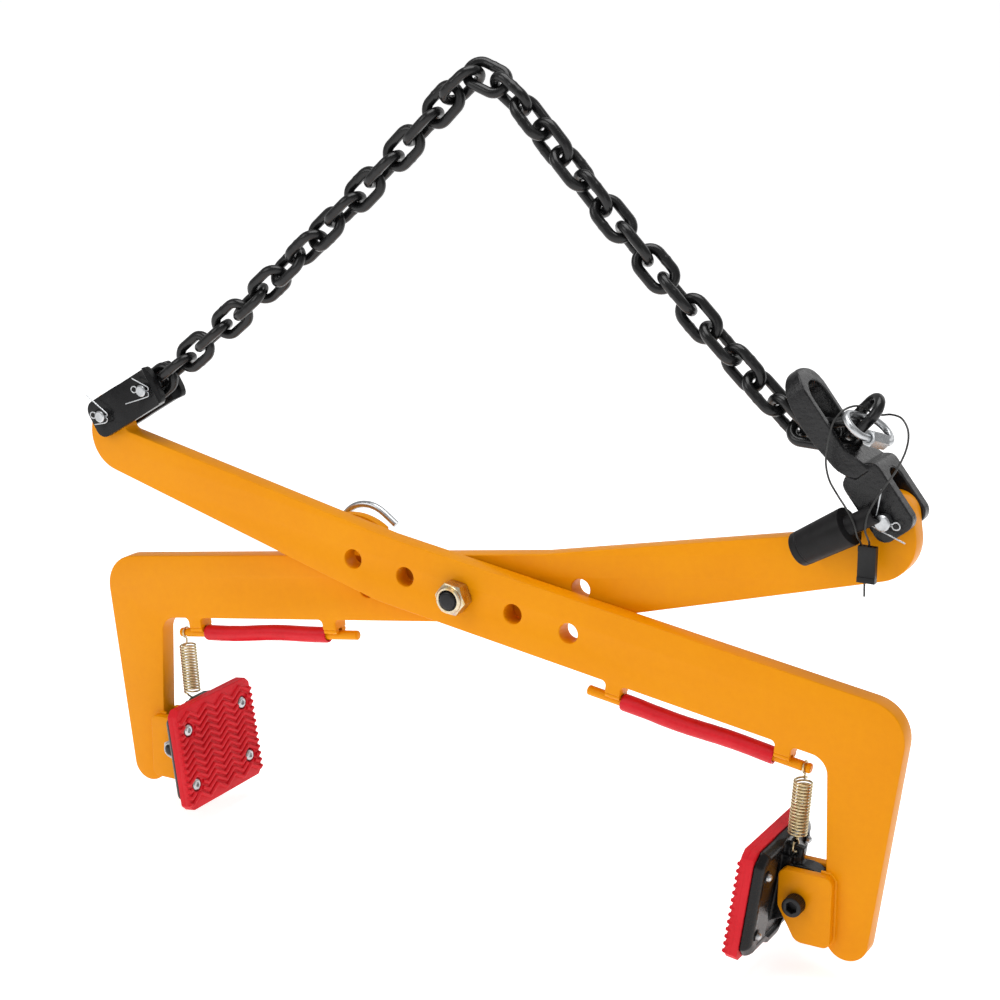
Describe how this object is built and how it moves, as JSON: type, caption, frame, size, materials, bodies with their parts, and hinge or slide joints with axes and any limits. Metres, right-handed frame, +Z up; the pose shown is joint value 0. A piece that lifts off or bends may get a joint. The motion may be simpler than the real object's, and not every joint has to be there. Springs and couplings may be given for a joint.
{
  "type": "concrete slab lifting clamp",
  "caption": "Scissor clamp for lifting slabs: crossed bent arms on one pivot bolt, sprung swivelling rubber pads, hose grips, short chain with a shortening hook and lifting link",
  "frame": {"origin": "middle of the lifting link at the top of the chain, where the object is held", "axes": "+X from the left jaw to the right jaw, +Y away from the viewer across the plates, +Z up"},
  "size_m": [0.7434, 0.125, 0.6504],
  "materials": {
    "orange_paint": "orange gloss paint over flame-cut plate",
    "black_chain": "black phosphated alloy chain, slightly oily",
    "black_casting": "black paint on cast and forged steel",
    "red_rubber": "matt moulded rubber",
    "red_hose": "smooth extruded hose",
    "black_rubber": "matt black rubber",
    "zinc": "clear zinc plating",
    "yellow_zinc": "yellow passivated zinc",
    "black_screw": "black oxide steel",
    "black_plastic": "moulded nylon"
  },
  "bodies": {
    "lifting_link": {"lifting_link": "black_chain"},
    "left_chain": {"left_chain": "black_chain", "strap_front": "black_casting", "strap_rear": "black_casting", "strap_pin_lower": "zinc", "strap_pin_upper": "zinc", "strap_cotters": "zinc"},
    "front_arm": {"front_arm": "orange_paint", "front_cheeks": "orange_paint", "front_rod": "orange_paint", "front_grip": "red_hose", "front_swivel_bolt": "black_screw", "front_swivel_nut": "zinc", "front_spring": "yellow_zinc", "pivot_bolt": "black_screw", "pivot_nut": "yellow_zinc", "pivot_washer": "zinc"},
    "rear_arm": {"rear_arm": "orange_paint", "rear_cheeks": "orange_paint", "rear_rod": "orange_paint", "rear_grip": "red_hose", "rear_swivel_bolt": "black_screw", "rear_swivel_nut": "zinc", "rear_spring": "yellow_zinc", "stay_plate": "orange_paint"},
    "hook": {"clevis_hook": "black_casting", "clevis_pin": "zinc", "clevis_cotter": "zinc", "bend_link": "black_chain", "slot_link": "black_chain", "rubber_boot": "black_rubber", "seal_tag": "black_plastic", "seal_wire": "black_plastic"},
    "tail": {"tail_link": "black_chain", "stop_ring": "zinc", "stop_ring_sleeve": "zinc"},
    "right_chain": {"right_chain": "black_chain"},
    "front_pad": {"front_pad": "black_casting", "front_rubber": "red_rubber", "front_screws": "zinc", "front_screw_nuts": "zinc"},
    "rear_pad": {"rear_pad": "black_casting", "rear_rubber": "red_rubber", "rear_screws": "zinc", "rear_screw_nuts": "zinc"},
    "stay_hook": {"stay_hook": "zinc"}
  },
  "joints": [
    {"name": "front_arm_turn", "type": "hinge", "parent": "left_chain", "child": "front_arm", "pos_m": [-0.36321, -0.01, -0.29517], "axis": [0, 1, 0], "range_deg": [-7.84, 1.96]},
    {"name": "scissor", "type": "hinge", "parent": "front_arm", "child": "rear_arm", "pos_m": [-0.0175, 0, -0.4027], "axis": [0, 1, 0], "range_deg": [-3.02, 12.02]},
    {"name": "left_run_swing", "type": "hinge", "parent": "lifting_link", "child": "left_chain", "pos_m": [-0.01567, 0, 0.00605], "axis": [0, 1, 0], "range_deg": [-0.48, 1.86]},
    {"name": "hook_turn", "type": "hinge", "parent": "rear_arm", "child": "hook", "pos_m": [0.32821, 0.01, -0.29517], "axis": [0, 1, 0], "range_deg": [-8.06, 2.03]},
    {"name": "right_run_swing", "type": "hinge", "parent": "lifting_link", "child": "right_chain", "pos_m": [0.01567, 0, -0.00605], "axis": [0, 1, 0], "range_deg": [-2.06, 0.53]},
    {"name": "tail_turn", "type": "hinge", "parent": "hook", "child": "tail", "pos_m": [0.29209, 0.01, -0.23851], "axis": [0, 1, 0], "range_deg": [-2, 8]},
    {"name": "front_pad_swivel", "type": "hinge", "parent": "front_arm", "child": "front_pad", "pos_m": [0.27951, -0.01, -0.59382], "axis": [0, 1, 0], "range_deg": [-14, 3], "stiffness_Nm_per_rad": 6, "deforming": ["front_spring"]},
    {"name": "rear_pad_swivel", "type": "hinge", "parent": "rear_arm", "child": "rear_pad", "pos_m": [-0.31451, 0.01, -0.59382], "axis": [0, 1, 0], "range_deg": [-3, 14], "stiffness_Nm_per_rad": 6, "deforming": ["rear_spring"]},
    {"name": "stay_hook_turn", "type": "hinge", "parent": "rear_arm", "child": "stay_hook", "pos_m": [-0.1595, 0.026, -0.3893], "axis": [0, 1, 0], "range_deg": [-60, 6]}
  ],
  "couplings": [
    {"joint": "left_run_swing", "follows": "front_arm_turn", "ratio": -0.23435},
    {"joint": "scissor", "follows": "front_arm_turn", "ratio": -1.5313},
    {"joint": "hook_turn", "follows": "front_arm_turn", "ratio": 1.0258},
    {"joint": "right_run_swing", "follows": "front_arm_turn", "ratio": 0.26011}
  ]
}
